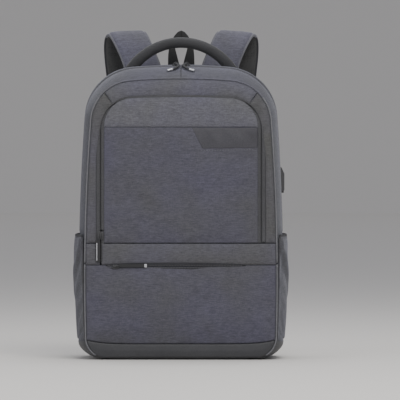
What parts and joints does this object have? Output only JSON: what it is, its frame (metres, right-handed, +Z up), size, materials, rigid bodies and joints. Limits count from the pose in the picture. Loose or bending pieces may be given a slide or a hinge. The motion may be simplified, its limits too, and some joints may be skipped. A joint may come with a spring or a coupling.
{
  "type": "backpack",
  "caption": "Business laptop backpack with a curved main zip, zipped front and lower pockets, side pockets, a USB charging port, carry handle and padded shoulder straps.",
  "frame": {"origin": "centre of the underside of the base", "axes": "+Z up, front face towards -Y, back panel and shoulder straps towards +Y, +X is the right side seen from the front"},
  "size_m": [0.3262, 0.2246, 0.5042],
  "materials": {
    "main_fabric": "heather polyester, matt",
    "light_fabric": "heather polyester, lighter",
    "coated_fabric": "coated, satin",
    "strap_fabric": "heather polyester",
    "handle_fabric": "woven, matt",
    "air_mesh": "air mesh over foam",
    "lining": "smooth lining",
    "webbing": "woven webbing",
    "elastic_binding": "elastic binding",
    "piping": "corded piping",
    "zip_tape": "woven zip tape",
    "zip_coil": "nylon coil",
    "slider_metal": "dark coated, satin",
    "pull_rubber": "moulded, matt, pale tip",
    "plastic": "moulded, fine grain",
    "cable_rubber": "matt",
    "socket_metal": "plated"
  },
  "bodies": {
    "bag": {"base_panel": "coated_fabric", "base_gusset": "main_fabric", "front_base_panel": "coated_fabric", "lower_pocket_panel": "main_fabric", "lower_zip_tape": "zip_tape", "lower_zip_coil": "zip_coil", "front_piping_lower": "piping", "side_pocket_left": "main_fabric", "side_pocket_right": "main_fabric", "pocket_binding_left": "elastic_binding", "pocket_binding_right": "elastic_binding", "rear_gusset": "main_fabric", "back_panel": "air_mesh", "back_pads": "air_mesh", "laptop_divider": "lining", "main_zip_tape_rear": "zip_tape", "main_zip_coil_rear": "zip_coil", "handle_roots": "handle_fabric", "strap_yoke": "strap_fabric", "usb_housing": "plastic", "usb_socket": "socket_metal", "usb_cable": "cable_rubber", "strap_anchor_left": "strap_fabric", "strap_anchor_right": "strap_fabric", "strap_webbing_left": "webbing", "strap_webbing_right": "webbing"},
    "front_section": {"front_gusset": "main_fabric", "front_frame_top": "main_fabric", "front_frame_sides": "main_fabric", "front_zip_tape_outer": "zip_tape", "front_zip_coil_outer": "zip_coil", "front_divider": "lining", "flap_band": "light_fabric", "front_piping_upper": "piping", "main_piping": "piping", "main_zip_tape_front": "zip_tape", "main_zip_coil_front": "zip_coil"},
    "front_panel": {"upper_band": "light_fabric", "centre_panel": "main_fabric", "accent_patch": "coated_fabric", "front_zip_tape_inner": "zip_tape", "front_zip_coil_inner": "zip_coil"},
    "main_slider_left_body": {"main_slider_left": "slider_metal"},
    "main_slider_right_body": {"main_slider_right": "slider_metal"},
    "main_pull_left_body": {"main_pull_left": "pull_rubber"},
    "main_pull_right_body": {"main_pull_right": "pull_rubber"},
    "front_slider_body": {"front_slider": "slider_metal"},
    "front_pull_body": {"front_pull": "pull_rubber"},
    "lower_slider_body": {"lower_slider": "slider_metal"},
    "lower_pull_body": {"lower_pull": "pull_rubber"},
    "carry_handle_body": {"carry_handle": "handle_fabric"},
    "hang_loop_body": {"hang_loop": "webbing"},
    "usb_cover_body": {"usb_cover": "cable_rubber"},
    "strap_left": {"shoulder_strap_left": "strap_fabric", "ladder_lock_left": "plastic", "webbing_tail_left": "webbing"},
    "strap_right": {"shoulder_strap_right": "strap_fabric", "ladder_lock_right": "plastic", "webbing_tail_right": "webbing"}
  },
  "joints": [
    {"name": "front_section_open", "type": "hinge", "parent": "bag", "child": "front_section", "pos_m": [0, -0.083, 0.1465], "axis": [1, 0, 0], "range_deg": [0, 25]},
    {"name": "front_panel_open", "type": "hinge", "parent": "front_section", "child": "front_panel", "pos_m": [0, -0.0844, 0.1788], "axis": [1, 0, 0], "range_deg": [0, 60]},
    {"name": "main_slider_left_travel", "type": "hinge", "parent": "front_section", "child": "main_slider_left_body", "pos_m": [0, -0.009, -0.45], "axis": [0, -1, 0], "range_deg": [0, 3.8]},
    {"name": "main_slider_right_travel", "type": "hinge", "parent": "front_section", "child": "main_slider_right_body", "pos_m": [0, -0.009, -0.45], "axis": [0, 1, 0], "range_deg": [0, 3.8]},
    {"name": "main_pull_left_lift", "type": "hinge", "parent": "main_slider_left_body", "child": "main_pull_left_body", "pos_m": [-0.00804, -0.009, 0.45416], "axis": [-1, 0, 0], "range_deg": [0, 110]},
    {"name": "main_pull_right_lift", "type": "hinge", "parent": "main_slider_right_body", "child": "main_pull_right_body", "pos_m": [0.00804, -0.009, 0.45416], "axis": [-1, 0, 0], "range_deg": [0, 110]},
    {"name": "front_slider_travel", "type": "slide", "parent": "front_section", "child": "front_slider_body", "axis": [0, 0, 1], "range_m": [0, 0.155]},
    {"name": "front_pull_lift", "type": "hinge", "parent": "front_slider_body", "child": "front_pull_body", "pos_m": [-0.123, -0.08815, 0.19], "axis": [-1, 0, 0], "range_deg": [0, 150]},
    {"name": "lower_slider_travel", "type": "slide", "parent": "bag", "child": "lower_slider_body", "axis": [1, 0, 0], "range_m": [0, 0.185]},
    {"name": "lower_pull_lift", "type": "hinge", "parent": "lower_slider_body", "child": "lower_pull_body", "pos_m": [-0.1, -0.08721, 0.1425], "axis": [0, 0, -1], "range_deg": [0, 150]},
    {"name": "carry_handle_lean", "type": "hinge", "parent": "bag", "child": "carry_handle_body", "pos_m": [0, 0.035, 0.451], "axis": [1, 0, 0], "range_deg": [-25, 40]},
    {"name": "hang_loop_lean", "type": "hinge", "parent": "bag", "child": "hang_loop_body", "pos_m": [0, 0.079, 0.445], "axis": [1, 0, 0], "range_deg": [-60, 5]},
    {"name": "usb_cover_open", "type": "hinge", "parent": "bag", "child": "usb_cover_body", "pos_m": [0.1541, 0.028, 0.2549], "axis": [0, 1, 0], "range_deg": [0, 85]},
    {"name": "shoulder_strap_left_swing", "type": "hinge", "parent": "bag", "child": "strap_left", "pos_m": [-0.06, 0.086, 0.443], "axis": [1, 0, 0], "range_deg": [0, 14]},
    {"name": "shoulder_strap_right_swing", "type": "hinge", "parent": "bag", "child": "strap_right", "pos_m": [0.06, 0.086, 0.443], "axis": [1, 0, 0], "range_deg": [0, 14]}
  ]
}
